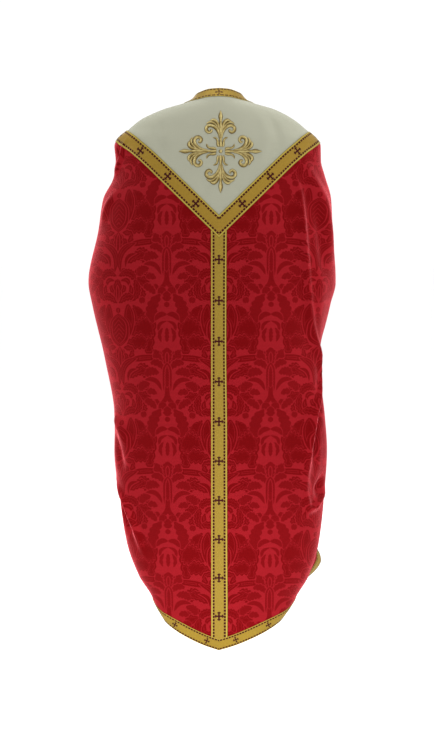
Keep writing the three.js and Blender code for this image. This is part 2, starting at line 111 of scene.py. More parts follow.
# The neck edge, from the centre of the back to the centre of the front.
NECK = Table("u z", [
    [0, 23],
    [0.15, 21.5],
    [0.3, 16],
    [0.4, 13],
    [0.5, 9],
    [0.62, -2],
    [0.775, -20],
    [0.855, -48],
    [0.907, -80],
    [0.951, -100],
    [1, -107],
])

# The hem, from the point of the back, up over the forearm, to the point of the front.
HEM = [
    (0, -1364),
    (0.11, -1350),
    (0.225, -1330),
    (0.31, -1312),
    (0.386, -1294),
    (0.445, -1276),
    (0.505, -1252),
    (0.552, -1213),
    (0.577, -1155),
    (0.588, -1080),
    (0.594, -980),
    (0.595, -860),
    (0.592, -720),
    (0.588, -580),
    (0.588, -480),
    (0.605, -425),
    (0.645, -400),
    (0.685, -425),
    (0.702, -480),
    (0.704, -580),
    (0.706, -720),
    (0.71, -860),
    (0.722, -980),
    (0.748, -1090),
    (0.79, -1180),
    (0.85, -1245),
    (0.92, -1287),
    (1, -1308),
]
# Rows of the hem: where its sweep turns into the free edge of the back, the crest over the
# forearm, and where the front's free edge turns into its sweep.
BACK_TURN = 6
CREST = 16
FRONT_TURN = 25
CLOTH_PER_U = 640

# The V's points at the back and the front, on the middle line of its tape, and its slope.
V_BACK_APEX = -311
V_FRONT_APEX = -325
V_SLOPE = 0.975
# Beyond this half width its arms bend towards the level, by the square of how far beyond.
V_BEND_FROM = 150
V_BEND = 0.0015

WIDE_TAPE = 39
NARROW_TAPE = 28
# Where a woven cross falls: a level on the column, and lengths along the V and the hem from the
# middle of the back.
COLUMN_CROSS = -390.6
V_CROSS = 78
HEM_CROSS = {"left": 37, "right": 49}
HEM_REPEAT = 90
CROSS_REPEAT = 98.7
V_REPEAT = 96

# Broad folds, as in the solids: a line from (u, z) to (u2, z2), how wide it is either side and how
# far it stands out; a negative rise is a trough.
FOLDS = [
    (-0.29, -250, -0.4, -620, 24, 7),
    (-0.4, -600, -0.31, -960, 26, 9),
    (-0.46, -600, -0.43, -980, 26, -10),
    (-0.588, -1128, -0.57, -1204, 22, 24),
    (0.44, -150, 0.47, -185, 14, 5),
    (0.36, -800, 0.42, -1060, 34, 6),
    (0.86, -330, 0.9, -1150, 34, 9),
    (-0.84, -360, -0.88, -1100, 34, 8),
    (0.78, -300, 0.8, -900, 26, -7),
    (-0.95, -420, -0.96, -1000, 30, -7),
]


class Crease:
    """A soft ridge, or a trough where its rise is negative, along a line of (u, z) places."""

    def __init__(self, width, rise, path):
        self.width = width
        self.rise = rise
        self.path = np.array(path, dtype=float) * [CLOTH_PER_U, 1]
        steps = np.hypot(*np.diff(self.path, axis=0).T)
        self.starts = np.concatenate([[0], np.cumsum(steps)]) / steps.sum()

    def add_to(self, rise, u, z):
        low, high = self.path.min(axis=0) - 3 * self.width, self.path.max(axis=0) + 3 * self.width
        across = u * CLOTH_PER_U
        near = (across > low[0]) & (across < high[0]) & (z > low[1]) & (z < high[1])
        if not near.any():
            return
        x, y = across[near], z[near]
        best, along = np.full(x.shape, np.inf), np.zeros(x.shape)
        for k, (start, end) in enumerate(zip(self.path, self.path[1:])):
            run = end - start
            t = np.clip(((x - start[0]) * run[0] + (y - start[1]) * run[1]) / run.dot(run), 0, 1)
            off = np.hypot(x - start[0] - t * run[0], y - start[1] - t * run[1])
            closer = off < best
            best = np.where(closer, off, best)
            share = self.starts[k] + t * (self.starts[k + 1] - self.starts[k])
            along = np.where(closer, share, along)
        fade = np.sin(math.pi * np.clip(along, 0.02, 0.98)) ** 0.6
        rise[near] += self.rise * fade * np.exp(-((best / self.width) ** 2))


# Creases of the back's right side, then its left side, the turn of the hem at both corners, the
# right edge that stands out, the yoke, the front, and the front of the yoke.
CREASES = [
    Crease(7, 9, [(-0.3, -190), (-0.299, -250), (-0.3, -330), (-0.303, -450), (-0.32, -510)]),
    Crease(13, -5, [(-0.325, -215), (-0.325, -330), (-0.328, -460)]),
    Crease(9, 14, [
        (-0.303, -450), (-0.32, -505), (-0.342, -552), (-0.37, -590), (-0.41, -630),
        (-0.427, -680), (-0.398, -728), (-0.362, -768), (-0.342, -848), (-0.335, -924), (-0.35, -985),
    ]),
    Crease(18, -22, [(-0.475, -690), (-0.445, -740), (-0.415, -780), (-0.392, -840), (-0.378, -920)]),
    Crease(20, 12, [(-0.345, -150), (-0.375, -200), (-0.405, -258), (-0.425, -330), (-0.43, -400)]),
    Crease(15, -6, [(-0.355, -250), (-0.368, -300), (-0.372, -360), (-0.36, -430)]),
    Crease(9, 11, [(-0.345, -972), (-0.37, -1012), (-0.4, -1006), (-0.483, -970)]),
    Crease(16, -14.5, [(-0.385, -960), (-0.42, -962), (-0.46, -935)]),
    Crease(6, 7, [(0.4, -105), (0.42, -140), (0.45, -182)]),
    Crease(8, -6, [(0.43, -110), (0.455, -148)]),
    Crease(11, 8, [(0.39, -228), (0.42, -262), (0.438, -300)]),
    Crease(14, 11, [(0.45, -780), (0.39, -814), (0.358, -854)]),
    Crease(16, -13, [(0.465, -830), (0.42, -870), (0.385, -915)]),
    Crease(10, 11, [(0.465, -944), (0.407, -994), (0.375, -1064), (0.36, -1120)]),
    Crease(12, -13, [(0.482, -965), (0.44, -1012), (0.405, -1080)]),
    Crease(24, -11, [(0.27, -1342), (0.34, -1322), (0.42, -1300), (0.5, -1268), (0.57, -1210)]),
    Crease(22, -17, [(0.38, -1318), (0.45, -1294), (0.51, -1262), (0.56, -1218), (0.59, -1160)]),
    Crease(24, -13, [(-0.27, -1342), (-0.34, -1322), (-0.42, -1300), (-0.5, -1268), (-0.57, -1210)]),
    Crease(22, -15, [(-0.38, -1318), (-0.45, -1294), (-0.51, -1262), (-0.56, -1218), (-0.59, -1160)]),
    Crease(22, 13, [(-0.597, -1130), (-0.59, -1170), (-0.572, -1225)]),
    Crease(14, -4, [(-0.3, -45), (-0.26, -90), (-0.22, -140)]),
    Crease(16, 3, [(-0.24, -40), (-0.19, -110), (-0.16, -160)]),
    Crease(16, -3, [(0.3, -50), (0.24, -110), (0.2, -150)]),
    Crease(12, -2, [(0.06, -190), (0.04, -250)]),
    Crease(11, 13, [(0.79, -370), (0.755, -470), (0.74, -640), (0.745, -820)]),
    Crease(16, -16, [(0.83, -400), (0.79, -540), (0.775, -760)]),
    Crease(10, 11, [(-0.8, -350), (-0.76, -450), (-0.745, -600), (-0.75, -780)]),
    Crease(15, -14.5, [(-0.84, -390), (-0.8, -520), (-0.785, -700)]),
    Crease(12, 9.5, [(0.91, -450), (0.93, -650), (0.92, -900)]),
    Crease(12, 9.5, [(-0.9, -560), (-0.94, -760), (-0.93, -1010)]),
    Crease(12, -4, [(0.8, -90), (0.76, -150), (0.74, -190)]),
    Crease(12, -4, [(-0.78, -80), (-0.74, -140), (-0.72, -180)]),
]


def wrapped(u):
    return u - 2 * np.round(u / 2)


ARC_STEPS = 48
# Steps in u and in z over which the cloth's slopes are read.
U_STEP = 0.006
Z_STEP = 3


def quarter(u, z):
    """The level curve's quarter that each (u, z) lies on: sizes, and its length in ARC_STEPS."""
    half = np.where(u < 0, LEVELS.read("right", z), LEVELS.read("left", z))
    is_back = np.abs(u) <= 0.5
    side = LEVELS.read("side", z)
    end = np.where(is_back, LEVELS.read("back", z), LEVELS.read("front", z))
    square = np.where(is_back, LEVELS.read("square_back", z), LEVELS.read("square_front", z))
    sizes = half, np.abs(end - side), square
    angles = np.linspace(0, math.pi / 2, ARC_STEPS + 1)
    x, y = oval(angles, *(size[..., None] for size in sizes))
    steps = np.hypot(np.diff(x), np.diff(y))
    lengths = np.concatenate([np.zeros_like(steps[..., :1]), np.cumsum(steps, axis=-1)], axis=-1)
    return sizes, side, is_back, lengths


def oval(angle, half, depth, square):
    sine, cosine = np.sin(angle), np.cos(angle)
    radius = ((sine / half) ** square + (cosine / depth) ** square) ** (-1 / square)
    return radius * sine, radius * cosine


def smooth_point(u, z):
    """The cloth without its folds."""
    u, z = np.broadcast_arrays(wrapped(np.asarray(u, dtype=float)), np.asarray(z, dtype=float))
    sizes, side, is_back, lengths = quarter(u, z)
    wanted = 2 * lengths[..., -1] * np.where(is_back, np.abs(u), 1 - np.abs(u))
    k = np.clip((lengths < wanted[..., None]).sum(axis=-1) - 1, 0, ARC_STEPS - 1)
    before = np.take_along_axis(lengths, k[..., None], -1)[..., 0]
    after = np.take_along_axis(lengths, k[..., None] + 1, -1)[..., 0]
    angle = (k + (wanted - before) / (after - before)) * (math.pi / 2 / ARC_STEPS)
    x, y = oval(np.clip(angle, 0, math.pi / 2), *sizes)
    return np.stack([np.where(u < 0, -x, x), side + np.where(is_back, y, -y), z], axis=-1)


def level_length(u, z):
    """The length of the quarter of a level that (u, z) lies on."""
    u, z = np.broadcast_arrays(wrapped(np.asarray(u, dtype=float)), np.asarray(z, dtype=float))
    return quarter(u, z)[3][..., -1]


def fold_rise(u, z):
    u, z = np.broadcast_arrays(wrapped(np.asarray(u, dtype=float)), np.asarray(z, dtype=float))
    rise = np.zeros(u.shape)
    for crease in CREASES:
        crease.add_to(rise, u, z)
    for u1, z1, u2, z2, width, height in FOLDS:
        run = np.array([(u2 - u1) * CLOTH_PER_U, z2 - z1])
        across, down = wrapped(u - u1) * CLOTH_PER_U, z - z1
        t = np.clip((across * run[0] + down * run[1]) / run.dot(run), 0, 1)
        reach = np.hypot(across - t * run[0], down - t * run[1]) / width
        rise = rise + height * (0.35 + 0.65 * np.sin(math.pi * t)) * np.exp(-reach * reach)
    return rise


def cloth_point(u, z):
    around = smooth_point(u + U_STEP, z) - smooth_point(u - U_STEP, z)
    outward = np.stack([-around[..., 1], around[..., 0], np.zeros_like(around[..., 0])], axis=-1)
    outward /= np.linalg.norm(outward, axis=-1, keepdims=True)
    return smooth_point(u, z) + outward * fold_rise(u, z)[..., None]


def slopes(u, z):
    """How the cloth's place changes with u and with z."""
    around = (cloth_point(u + U_STEP, z) - cloth_point(u - U_STEP, z)) / (2 * U_STEP)
    up = (cloth_point(u, z + Z_STEP) - cloth_point(u, z - Z_STEP)) / (2 * Z_STEP)
    return around, up


def outwards(u, z):
    around, up = slopes(u, z)
    out = np.cross(up, around)
    return out / np.linalg.norm(out, axis=-1, keepdims=True)


def dot(a, b):
    return (a * b).sum(axis=-1)


def walk(u, z, direction, distance):
    """Places some millimetres away along the cloth, in a direction in space."""
    for _ in range(4):
        around, up = slopes(u, z)
        aa, ab, bb = dot(around, around), dot(around, up), dot(up, up)
        pa, pb = dot(direction, around) * distance / 4, dot(direction, up) * distance / 4
        det = aa * bb - ab * ab
        u = u + (pa * bb - pb * ab) / det
        z = z + (pb * aa - pa * ab) / det
    return u, z


def lower(u, z, direction, distance):
    """Places straight down their columns, far enough to be a distance away in a direction."""
    start = cloth_point(u, z)
    for _ in range(4):
        done = dot(cloth_point(u, z) - start, direction)
        z = z + (distance - done) / dot(direction, slopes(u, z)[1])
    return u, z


def across_line(u, z, sign):
    """At each place of a line, the way along the line and the way across it, down on the body."""
    run = np.gradient(cloth_point(u, z), axis=0)
    run /= np.linalg.norm(run, axis=-1, keepdims=True)
    across = np.cross(outwards(u, z), run) * sign
    return run, across / np.linalg.norm(across, axis=-1, keepdims=True)


def lengths_along(points):
    steps = np.linalg.norm(np.diff(points, axis=0), axis=-1)
    return np.concatenate([[0], np.cumsum(steps)])


def v_bend(reach):
    return V_BEND * np.maximum(0, reach - V_BEND_FROM) ** 2


def v_level(u, apex, slope):
    """The level at which the V crosses a column, where it has climbed with the half width there."""
    low, high = np.full(len(u), apex - 1.0), np.zeros(len(u))
    for _ in range(30):
        z = (low + high) / 2
        reach = np.abs(smooth_point(u, z)[..., 0])
        under = z - apex < slope * reach - v_bend(reach)
        low, high = np.where(under, z, low), np.where(under, high, z)
    return low


def v_line(sign, count):
    """The V's middle line from the back's point over the shoulder to the front's."""
    share = np.linspace(0, 0.5, count + 1)
    back = v_level(sign * share, V_BACK_APEX, V_SLOPE)
    reach = abs(smooth_point(sign * 0.5, back[-1])[0])
    slope = (back[-1] + v_bend(reach) - V_FRONT_APEX) / reach
    front = v_level(sign * (1 - share[:-1]), V_FRONT_APEX, slope)
    u = np.concatenate([share, 1 - share[:-1][::-1]])
    return sign * u, np.concatenate([back, front[::-1]])


class Hem:
    """The hem of one side, as places at lengths along it."""

    STEPS = 40

    def __init__(self, sign):
        self.sign = sign
        points = np.array(HEM, dtype=float) * [CLOTH_PER_U, 1]
        ends = 2 * points[0] - points[1], 2 * points[-1] - points[-2]
        points = np.vstack([ends[0], points, ends[1]])
        spans = np.linalg.norm(np.diff(points, axis=0), axis=1) ** 0.5
        pieces = [self._span(points[k : k + 4], spans[k : k + 3]) for k in range(len(HEM) - 1)]
        self.curve = np.vstack([*pieces, points[-2:-1]])
        self.lengths = lengths_along(self.curve)
        self.marks = self.lengths[:: self.STEPS]

    def _span(self, p, d):
        leave = (p[1] - p[0]) / d[0] - (p[2] - p[0]) / (d[0] + d[1]) + (p[2] - p[1]) / d[1]
        arrive = (p[2] - p[1]) / d[1] - (p[3] - p[1]) / (d[1] + d[2]) + (p[3] - p[2]) / d[2]
        t = np.linspace(0, 1, self.STEPS, endpoint=False)[:, None]
        straight = p[1] + (p[2] - p[1]) * t * t * (3 - 2 * t)
        return straight + d[1] * (leave * t * (1 - t) ** 2 - arrive * t * t * (1 - t))

    def places(self, lengths):
        u = np.interp(lengths, self.lengths, self.curve[:, 0]) / CLOTH_PER_U
        return self.sign * u, np.interp(lengths, self.lengths, self.curve[:, 1])


def resampled(u, z, count, curve=cloth_point):
    """A line of places spread evenly along the cloth."""
    lengths = lengths_along(curve(u, z))
    wanted = np.linspace(0, lengths[-1], count + 1)
    return np.interp(wanted, lengths, u), np.interp(wanted, lengths, z)


def coons(top, bottom, left, right):
    """Places inside four edges of (u, z) places, each a blend of all four."""
    down = np.linspace(0, 1, len(left))[:, None, None]
    share = (top[:, 0] - top[0, 0]) / (top[-1, 0] - top[0, 0])
    across = share[None, :, None]
    rows = top[None] * (1 - down) + bottom[None] * down
    columns = left[:, None] * (1 - across) + right[:, None] * across
    upper = top[0] * (1 - across) + top[-1] * across
    lower_ends = bottom[0] * (1 - across) + bottom[-1] * across
    return rows + columns - (upper * (1 - down) + lower_ends * down)


BODY_COLUMNS = 96
BODY_ROWS = 220
YOKE_ROWS = 60


def panel_quarter(is_back, sign):
    v = np.stack(v_line(sign, BODY_COLUMNS), axis=-1)
    top = v[: BODY_COLUMNS + 1] if is_back else v[BODY_COLUMNS:][::-1]
    hem = Hem(sign)
    whole, crest = hem.lengths[-1], hem.marks[CREST]
    tip, turn = (0, hem.marks[BACK_TURN]) if is_back else (whole, hem.marks[FRONT_TURN])
    edge = hem.places(np.linspace(crest, turn, 400))
    side_u = np.concatenate([[top[-1, 0]], edge[0]])
    side_z = np.concatenate([[top[-1, 1]], edge[1]])
    fine = np.linspace(0, 1, 60)
    side_u = np.concatenate([side_u[0] + (side_u[1] - side_u[0]) * fine[:-1], side_u[1:]])
    side_z = np.concatenate([side_z[0] + (side_z[1] - side_z[0]) * fine[:-1], side_z[1:]])
    right = np.stack(resampled(side_u, side_z, BODY_ROWS), axis=-1)
    bottom = np.stack(hem.places(np.linspace(tip, turn, BODY_COLUMNS + 1)), axis=-1)
    left = np.linspace(top[0], bottom[0], BODY_ROWS + 1)
    return coons(top, bottom, left, right)


def whole_width(quarter_of):
    """Both sides of a piece as one grid of places, from the right side to the left."""
    left, right = quarter_of(1), quarter_of(-1)
    return np.concatenate([right[:, :0:-1], left], axis=1)


def neck_line(count):
    share = np.linspace(0, 1, 2 * count + 1)
    return share, NECK.read("z", share)


def yoke_quarter(is_back, sign):
    v = np.stack(v_line(sign, BODY_COLUMNS), axis=-1)
    share, level = neck_line(BODY_COLUMNS)
    neck = np.stack([sign * share, level], axis=-1)
    half = slice(BODY_COLUMNS + 1) if is_back else slice(None, BODY_COLUMNS - 1, -1)
    v, neck = v[half], neck[half]
    down = np.linspace(0, 1, YOKE_ROWS + 1)[:, None, None]
    return neck[None] * (1 - down) + v[None] * down


class Weave:
    """Distances along the cloth: round from a centre line, and up from a level."""

    LEVEL = -700

    def __init__(self):
        self.u = np.linspace(-1, 1, 81)
        self.z = np.linspace(-1400, 40, 289)
        u, z = np.meshgrid(self.u, self.z, indexing="ij")
        steps = np.linalg.norm(np.diff(smooth_point(u, z), axis=1), axis=-1)
        up = np.concatenate([np.zeros((len(self.u), 1)), np.cumsum(steps, axis=1)], axis=1)
        level = np.searchsorted(self.z, self.LEVEL)
        self.up = up - up[:, level : level + 1]

    def read(self, u, z):
        turned = wrapped(u)
        length = 2 * level_length(turned, z)
        front = np.where(turned < 0, -1 - turned, 1 - turned)
        round_ = length * np.where(np.abs(turned) <= 0.5, turned, -front)
        a = np.clip((turned - self.u[0]) / (self.u[1] - self.u[0]), 0, len(self.u) - 1.001)
        b = np.clip((z - self.z[0]) / (self.z[1] - self.z[0]), 0, len(self.z) - 1.001)
        i, j = a.astype(int), b.astype(int)
        s, t = a - i, b - j
        low = self.up[i, j] * (1 - s) + self.up[i + 1, j] * s
        high = self.up[i, j + 1] * (1 - s) + self.up[i + 1, j + 1] * s
        return np.stack([round_, low * (1 - t) + high * t], axis=-1)


WEAVE = Weave()


def add_object(name, points, faces, uv, materials, face_material=None):
    """A new piece from points in millimetres, with a UV map in metres."""
    mesh = bpy.data.meshes.new(name)
    mesh.from_pydata((points * MM).tolist(), [], faces.tolist())
    for material in materials:
        mesh.materials.append(material)
    if face_material is not None:
        mesh.polygons.foreach_set("material_index", np.asarray(face_material, dtype=np.int32))
    corners = np.empty(len(mesh.loops), dtype=np.int32)
    mesh.loops.foreach_get("vertex_index", corners)
    layer = mesh.uv_layers.new(name="cloth")
    layer.data.foreach_set("uv", (uv * MM)[corners].ravel())
    mesh.update()
    piece = bpy.data.objects.new(name, mesh)
    bpy.context.scene.collection.objects.link(piece)
    bpy.ops.object.select_all(action="DESELECT")
    piece.select_set(True)
    bpy.context.view_layer.objects.active = piece
    bpy.ops.object.shade_smooth_by_angle(angle=math.radians(50))
    return piece


def grid_faces(rows, columns):
    i, j = np.meshgrid(np.arange(rows - 1), np.arange(columns - 1), indexing="ij")
    a, d = i * columns + j, (i + 1) * columns + j
    return np.stack([a, a + 1, d + 1, d], axis=-1).reshape(-1, 4)


def border(rows, columns):
    """The edges round a grid, running with its faces."""
    index = np.arange(rows * columns).reshape(rows, columns)
    ring = [index[0, :-1], index[:-1, -1], index[-1, :0:-1], index[:0:-1, 0], index[0, :1]]
    loop = np.concatenate(ring)
    return np.stack([loop[:-1], loop[1:]], axis=-1)


def shell(points, out, low, high):
    """A closed shell on a grid of points, from a distance low to a distance high along out."""
    rows, columns = points.shape[:2]
    count = rows * columns
    flat, normals = points.reshape(-1, 3), out.reshape(-1, 3)
    low, high = (np.broadcast_to(x, (rows, columns)).reshape(-1, 1) for x in (low, high))
    faces = grid_faces(rows, columns)
    a, b, _, d = flat[faces[len(faces) // 2]]
    outside = np.cross(b - a, d - a).dot(normals[faces[len(faces) // 2][0]]) > 0
    faces = faces if outside else faces[:, ::-1]
    edges = border(rows, columns)
    edges = edges if outside else edges[:, ::-1]
    rim = np.stack([edges[:, 1], edges[:, 0], edges[:, 0] + count, edges[:, 1] + count], axis=-1)
    vertices = np.concatenate([flat + normals * high, flat + normals * low])
    kinds = np.repeat([0, 1, 1], [len(faces), len(faces), len(rim)])
    return vertices, np.concatenate([faces, faces[:, ::-1] + count, rim]), kinds


def cloth_piece(name, places, thickness, materials):
    u, z = places[..., 0], places[..., 1]
    vertices, faces, kinds = shell(cloth_point(u, z), outwards(u, z), -thickness / 2, thickness / 2)
    uv = np.tile(WEAVE.read(u, z).reshape(-1, 2), (2, 1))
    return add_object(name, vertices, faces, uv, materials, kinds)


TAPE_COLUMNS = 12
# How far off the middle of the cloth a tape's face stands before its thickness, and how far under
# that its back lies.
TAPE_STAND = 1.35
TAPE_DEPTH = 0.3


def tape_shares():
    """Places across a tape, from edge to edge, closer together at its rounded edges."""
    inner = np.linspace(-0.47, 0.47, TAPE_COLUMNS - 3)
    return np.concatenate([[-0.5, -0.492], inner, [0.492, 0.5]])


def tape_piece(name, u, z, uv, thickness, material):
    """A tape laid on the cloth, on a grid of places with its shares across along the last axis."""
    shares = tape_shares()
    height = TAPE_STAND + thickness * np.clip((0.5 - np.abs(shares)) / 0.008, 0.35, 1) ** 0.5
    points, out = cloth_point(u, z), outwards(u, z)
    vertices, faces, _ = shell(points, out, TAPE_STAND - TAPE_DEPTH, height[None, :])
    return add_object(name, vertices, faces, np.tile(uv.reshape(-1, 2), (2, 1)), [material])


def line_tape(u, z, width, sign, columns_only, centre_share=0.0):
    """Places of a tape whose middle (or another share of its width) follows a line."""
    run, across = across_line(u, z, sign)
    line = cloth_point(u, z)
    lengths = lengths_along(line)
    near = columns_only > 0
    mix = columns_only[near]
    grid_u, grid_z, grid_s = [], [], []
    for share in tape_shares():
        distance = (share - centre_share) * width
        place_u, place_z = walk(u, z, across, distance)
        lowered = lower(u[near], z[near], across[near], distance)
        place_u[near] += (lowered[0] - place_u[near]) * mix
        place_z[near] += (lowered[1] - place_z[near]) * mix
        grid_u.append(place_u)
        grid_z.append(place_z)
        grid_s.append(lengths + dot(cloth_point(place_u, place_z) - line, run))
    return np.stack(grid_u, -1), np.stack(grid_z, -1), np.stack(grid_s, -1)


def with_across(s, width):
    return np.stack([s, np.broadcast_to(tape_shares() * width, s.shape)], axis=-1)


class Value:
    """A shader socket that can be used in sums."""

    def __init__(self, shader, socket):
        self.shader = shader
        self.socket = socket

    def apply(self, operation, *others, clamp=False):
        inputs = dict(enumerate([self, *others]))
        settings = {"operation": operation, "use_clamp": clamp}
        return self.shader.value("Math", settings, inputs)

    def __add__(self, other):
        return self.apply("ADD", other)

    def __sub__(self, other):
        return self.apply("SUBTRACT", other)

    def __mul__(self, other):
        return self.apply("MULTIPLY", other)

    def __truediv__(self, other):
        return self.apply("DIVIDE", other)

    def __neg__(self):
        return self.apply("MULTIPLY", -1.0)

    def __rsub__(self, other):
        return self.apply("MULTIPLY_ADD", -1.0, other)

    __radd__ = __add__
    __rmul__ = __mul__


class Shader:
    """A material and its node tree."""

    def __init__(self, name, **constants):
        self.material = bpy.data.materials.new(name)
        self.material.use_nodes = True
        self.tree = self.material.node_tree
        self.tree.nodes.clear()
        self.surface = self.node("BsdfPrincipled", inputs=constants)
        output = self.node("OutputMaterial")
        self.tree.links.new(self.surface.outputs[0], output.inputs[0])

    def node(self, kind, settings=(), inputs=()):
        made = self.tree.nodes.new("ShaderNode" + kind)
        for key, value in dict(settings).items():
            setattr(made, key, value)
        for key, value in dict(inputs).items():
            if isinstance(value, Value):
                self.tree.links.new(value.socket, made.inputs[key])
            else:
                made.inputs[key].default_value = value
        return made

    def value(self, kind, settings=(), inputs=(), output=0):
        return Value(self, self.node(kind, settings, inputs).outputs[output])

    def cloth_uv(self):
        """Distances along the cloth, in millimetres."""
        spot = self.value("UVMap", {"uv_map": "cloth"})
        parts = self.node("SeparateXYZ", inputs={0: spot})
        return Value(self, parts.outputs[0]) * 1000.0, Value(self, parts.outputs[1]) * 1000.0

    def place(self):
        return self.value("TexCoord", output="Object")

    def noise(self, where, scale, detail=2.0, roughness=0.5):
        return self.value("TexNoise", (), {
            "Vector": where, "Scale": scale, "Detail": detail, "Roughness": roughness,
        })

    def point(self, x, y, z=0.0):
        return self.value("CombineXYZ", (), {0: x, 1: y, 2: z})

    def mix(self, share, first, second):
        settings = {"data_type": "RGBA", "clamp_factor": True}
        return self.value("Mix", settings, {0: share, 6: first, 7: second}, output=2)

    def tint(self, values):
        return self.mix(0.0, colour(values), colour(values))

    def scaled(self, tint, amount):
        return self.value("VectorMath", {"operation": "SCALE"}, {0: tint, "Scale": amount})

    def finish(self, **inputs):
        for name, value in inputs.items():
            socket = self.surface.inputs[name.replace("_", " ")]
            self.tree.links.new(value.socket, socket)
        return self.material

    def bump(self, height, distance, strength=1.0):
        return self.value("Bump", (), {
            "Height": height, "Distance": distance, "Strength": strength,
        })


def smooth_step(value, low, high):
    """0 below low and 1 above high, with a straight ramp between them."""
    return ((value - low) * (1.0 / (high - low))).apply("ADD", 0.0, clamp=True)


def colour(value):
    return (*value, 1.0)


# The damask's repeat, in millimetres: from one mirror line to the next, and its height. Then the
# width of the bare line round each leaf, and how far up the cloth one of the flowers stands.
HALF_REPEAT = 126.5
REPEAT = 273
OUTLINE = 2.8
FLOWER_HEIGHT = 99
# How much the loom's repeat is drawn out up the cloth, and the tops of the two motifs' repeats.
DRAWN_OUT = 1.037
FLOWER_TOP = 100.0
BELL_TOP = 6.0

# Leaves and petals of the damask, in the order they are laid over one another: where each starts,
# its direction in degrees, its length and width, how far its middle bends to its left, how much
# wider its far half is, and the lobes along its edges. x is measured from the mirror line.
POMEGRANATE = """
  x     y   turn  length  width  bend  taper  lobes blunt
 97    70   -100     100     26    -5   0.10    5   1.6
 66    62     34      34     27     2   0.20    4   2.5
 28    54     44      50     40     0   0.30    5   2.5
 36    26     24      58     44     2   0.35    6   3.0
 20     0     12      58     32     3   0.30    5   2.6
 12    -3    -22      32     14     4   0.20    3   2.0
 35   -10   -118      22     15     6   0.20    0   2.5
 12     8     81      96     27    -9   0.10    0   1.5
  0    -2     90      80     56     0   0.00    0   1.5
  0     6     90      64     40     0   0.10    0   1.5
  0    79     90      13     12     0   0.00    0   2.0
  1    -4    -52      38     22    -5   0.20    3   2.0
  0    -2    -90      60     24     0   0.00    5   2.0
  0    -8    -90      44      7     0   0.00    0   1.5
 46   -48    -36      38     30     6   0.10    4   2.5
 26   -76     22      52     22     6   0.20    5   2.2
 28   -34      4      96     14     4  -0.20    0   1.6
  8   -98     60      80     16    21   0.10    0   2.2
 22   -86     50      42      8    11   0.10    0   1.6
 10   -94    -10      15     13     0   0.10    0   3.0
 44   -98    -10      38     22     4   0.20    4   2.2
 50  -112    -34      38     24     4   0.20    5   2.2
 50  -130    -62      36     22     3   0.20    5   2.2
  3  -106    -18      50     19    15   0.10    7   2.5
 47  -114   -104      54     20    11   0.10    6   2.5
  8  -118    -30      30     10    10   0.10    0   2.0
 34  -126   -112      32     12     9   0.10    0   2.0
  2  -170     20      44     18     6   0.20    5   2.2
  0  -156     50      34     16     2   0.35    3   2.2
  0  -168     90      54     20     0   0.40    3   2.2
  0  -164     90      34      5     0   0.20    0   1.5
"""

# The same for the bell, where x is measured from the mirror line through it.
BELL = """
  x     y   turn  length  width  bend  taper  lobes blunt
 36    -8   -160      36     15     3   0.10    3   2.0
  2   -46     54      48     20    -6   0.20    5   2.2
  0   -46     90      44     22     0   0.30    5   2.2
  0   -40     90      26      6     0   0.20    0   1.5
  8   -54     26      38     16     7   0.20    4   2.2
  0  -114     90      76     22     0   0.00    0   2.5
  0  -108     90      62      9     0   0.00   10   2.0
 20   -62     -8      38     20     6   0.20    5   2.2
 44   -88    -30      34     20     5   0.20    5   2.2
 14  -104     30      50     11    12   0.10    0   2.2
 23  -140    112      50     11    12   0.00    0   2.2
 20  -131    -20      18     14     1   0.00    0   3.0
 26  -112      8      26     15     3   0.20    3   2.2
 28  -148     34      36     17     3   0.20    4   2.2
 12  -132    -90      20     20     0   0.10    0   2.2
  0  -142    -90      24     20     0   0.20    3   2.2
  0  -167    -90      13     13     0   0.00    0   1.5
 54  -162    -10      16     14     0   0.00    3   3.0
 16  -148    -74      72     28    11   0.15    5   2.0
  0  -196    -26      34     12     6   0.00    0   2.0
  0  -212    -62      36      8    12   0.00    0   2.0
 14  -262     96      34      9    -6   0.00    3   2.0
  0  -262     90      34     10     0   0.00    4   2.0
"""


def rows_of(table):
    """A text table's rows, each as a dictionary of numbers by column."""
    names, *rows = [line.split() for line in table.strip().splitlines()]
    return [dict(zip(names, map(float, row))) for row in rows]


def leaf(place, x, y, turn, length, width, bend=0, taper=0, lobes=0, blunt=1):
    """How far inside a leaf a place lies, in millimetres."""
    cosine, sine = math.cos(math.radians(turn)), math.sin(math.radians(turn))
    half_length = length / 2
    ahead = -(x * cosine + y * sine) / half_length - 1
    along = place[0].apply("MULTIPLY_ADD", cosine / half_length, ahead)
    along = place[1].apply("MULTIPLY_ADD", sine / half_length, along)
    across = place[0].apply("MULTIPLY_ADD", -sine, x * sine - y * cosine)
    across = place[1].apply("MULTIPLY_ADD", cosine, across)
    squared = along * along
    curve = squared.apply("MULTIPLY_ADD", bend, -bend)
    off = (across + curve).apply("ABSOLUTE")
    spread = squared.apply("POWER", blunt).apply("MULTIPLY_ADD", -1.0, 1.0)
    half = along.apply("MULTIPLY_ADD", taper * width / 2, width / 2).apply("MAXIMUM", 0.1)
    if lobes:
        wave = (along * (lobes * math.pi / 2)).apply("SINE").apply("ABSOLUTE")
        half = half * wave.apply("MULTIPLY_ADD", 0.3, 0.75)
    return spread * half - off


def laid_over(below, shape):
    """A shape laid over others, with a bare line round it."""
    cut = below.apply("MINIMUM", shape.apply("MULTIPLY_ADD", -1.0, -OUTLINE))
    return cut.apply("MAXIMUM", shape)


